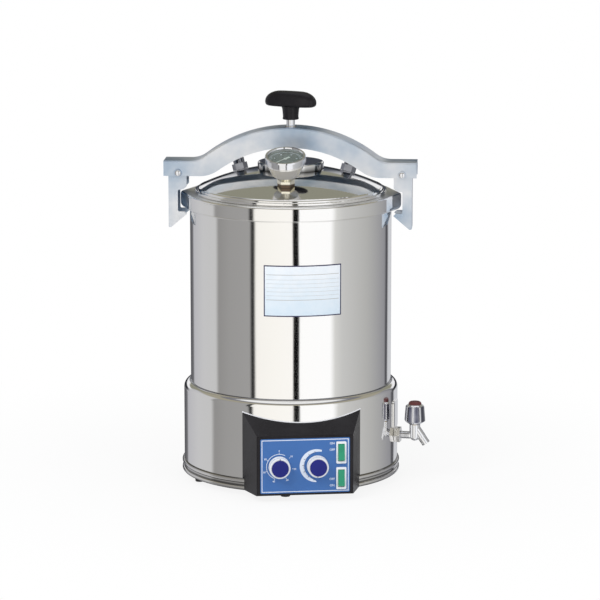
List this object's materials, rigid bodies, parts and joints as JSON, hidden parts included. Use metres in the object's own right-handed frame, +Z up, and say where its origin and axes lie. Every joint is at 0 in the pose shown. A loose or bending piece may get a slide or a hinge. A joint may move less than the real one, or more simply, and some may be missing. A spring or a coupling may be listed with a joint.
{
  "type": "steam autoclave",
  "caption": "Portable electric steam autoclave: polished drum on a skirted base, domed lid with gauge and valves, yoke and hooks with a clamp screw, control panel and drain tap.",
  "frame": {"origin": "on the drum's axis, at the level of the feet's undersides", "axes": "+Z up along the drum; +X along the yoke, towards the tap's side; -Y is the front, with the gauge"},
  "size_m": [0.3767, 0.3468, 0.5487],
  "materials": {
    "polished_steel": "polished",
    "plain_steel": "satin",
    "zinc_plate": "satin",
    "chrome_plate": "polished",
    "brass": "polished",
    "heater_sheath": "matte",
    "black_rubber": "matte",
    "gasket_rubber": "matte",
    "black_plastic": "satin",
    "blue_plate": "satin",
    "white_plastic": "gloss",
    "dark_blue_plastic": "gloss",
    "green_plastic": "gloss",
    "red_plastic": "gloss",
    "clear_glass": "gloss",
    "dial_paint": "satin",
    "needle_paint": "matte",
    "grey_plastic": "matte"
  },
  "bodies": {
    "base": {"chamber": "polished_steel", "collar": "polished_steel", "base_shell": "polished_steel", "base_ring": "polished_steel", "base_plate": "plain_steel", "feet": "black_rubber", "foot_screws": "plain_steel", "heating_element": "heater_sheath", "heater_nuts": "plain_steel", "steam_rack": "plain_steel", "instrument_pail": "plain_steel", "panel_housing": "black_plastic", "housing_screws": "plain_steel", "faceplate": "blue_plate", "timer_body": "grey_plastic", "thermostat_body": "grey_plastic", "switch_frame_upper": "white_plastic", "switch_frame_lower": "white_plastic", "tap_body": "chrome_plate", "tap_nut": "chrome_plate", "tap_cover_plate": "polished_steel", "drain_pipe": "plain_steel", "power_inlet": "black_plastic", "inlet_pins": "brass", "terminal_block": "grey_plastic"},
    "lid": {"lid": "polished_steel", "lid_gasket": "gasket_rubber", "lid_disc": "polished_steel", "spindle_retainer": "plain_steel", "gauge_stem": "brass", "gauge_case": "chrome_plate", "gauge_bezel": "chrome_plate", "gauge_glass": "clear_glass", "gauge_dial": "dial_paint", "lid_nuts": "plain_steel", "safety_valve_body": "chrome_plate", "release_valve_body": "chrome_plate"},
    "needle": {"gauge_needle": "needle_paint"},
    "safety_stem": {"safety_valve_stem": "chrome_plate"},
    "release_lever": {"release_lever": "chrome_plate"},
    "clamp_screw": {"spindle": "chrome_plate", "knob": "black_plastic"},
    "yoke": {"yoke": "zinc_plate", "yoke_bush": "brass", "hook_pins": "zinc_plate"},
    "hook_left": {"hook_left": "zinc_plate"},
    "hook_right": {"hook_right": "zinc_plate"},
    "timer": {"timer_shaft": "grey_plastic", "timer_knob": "white_plastic", "timer_knob_cap": "dark_blue_plastic"},
    "thermostat": {"thermostat_shaft": "grey_plastic", "thermostat_knob": "white_plastic", "thermostat_knob_cap": "dark_blue_plastic"},
    "rocker_upper": {"rocker_upper": "green_plastic"},
    "rocker_lower": {"rocker_lower": "green_plastic"},
    "tap_handle": {"tap_stem": "brass", "tap_handle": "chrome_plate", "tap_cap": "red_plastic"},
    "bail": {"pail_bail": "plain_steel"}
  },
  "joints": [
    {"name": "lid_lift", "type": "slide", "parent": "base", "child": "lid", "axis": [0, 0, 1], "range_m": [0, 0.12]},
    {"name": "clamp_screw_turn", "type": "hinge", "parent": "lid", "child": "clamp_screw", "pos_m": [0, 0, 0.4455], "axis": [0, 0, 1], "range_deg": [-396.1, 360.1]},
    {"name": "yoke_drop", "type": "slide", "parent": "lid", "child": "yoke", "axis": [0, 0, 1], "range_m": [-0.003, 0.0033]},
    {"name": "hook_right_swing", "type": "hinge", "parent": "yoke", "child": "hook_right", "pos_m": [0.1573, 0, 0.4343], "axis": [0, -1, 0], "range_deg": [0, 80.5]},
    {"name": "hook_left_swing", "type": "hinge", "parent": "yoke", "child": "hook_left", "pos_m": [-0.1573, 0, 0.4343], "axis": [0, 1, 0], "range_deg": [0, 80.5]},
    {"name": "gauge_needle_turn", "type": "hinge", "parent": "lid", "child": "needle", "pos_m": [0, -0.10146, 0.46605], "axis": [0, -0.2977, 0.9547], "range_deg": [-270, 0], "stiffness_Nm_per_rad": 0.0002, "springref_deg": 11.46},
    {"name": "safety_valve_pull", "type": "slide", "parent": "lid", "child": "safety_stem", "axis": [-0.2448, 0.1323, 0.9605], "range_m": [0, 0.003], "stiffness_N_per_m": 2000, "springref_m": -0.002},
    {"name": "release_lever_turn", "type": "hinge", "parent": "lid", "child": "release_lever", "pos_m": [0.08419, 0.04317, 0.45298], "axis": [0.258, 0.1323, 0.957], "range_deg": [0, 90]},
    {"name": "timer_turn", "type": "hinge", "parent": "base", "child": "timer", "pos_m": [-0.00344, -0.17569, 0.0504], "axis": [0.1857, -0.9826, 0], "range_deg": [-300, 0]},
    {"name": "thermostat_turn", "type": "hinge", "parent": "base", "child": "thermostat", "pos_m": [0.04864, -0.16585, 0.0504], "axis": [0.1857, -0.9826, 0], "range_deg": [-270, 0]},
    {"name": "rocker_upper_tilt", "type": "hinge", "parent": "base", "child": "rocker_upper", "pos_m": [0.08088, -0.15874, 0.0687], "axis": [0.9826, 0.1857, 0], "range_deg": [0, 18]},
    {"name": "rocker_lower_tilt", "type": "hinge", "parent": "base", "child": "rocker_lower", "pos_m": [0.08088, -0.15874, 0.0324], "axis": [0.9826, 0.1857, 0], "range_deg": [0, 18]},
    {"name": "tap_handle_turn", "type": "hinge", "parent": "base", "child": "tap_handle", "pos_m": [0.17793, -0.02977, 0.08], "axis": [0, 0, 1], "range_deg": [0, 180]},
    {"name": "bail_swing", "type": "hinge", "parent": "base", "child": "bail", "pos_m": [0, 0, 0.2903], "axis": [-1, 0, 0], "range_deg": [0, 180]}
  ],
  "couplings": [
    {"joint": "clamp_screw_turn", "follows": "yoke_drop", "rad_per_m": -2094.4},
    {"joint": "hook_right_swing", "follows": "lid_lift", "rad_per_m": 11.636},
    {"joint": "hook_left_swing", "follows": "lid_lift", "rad_per_m": 11.636}
  ]
}
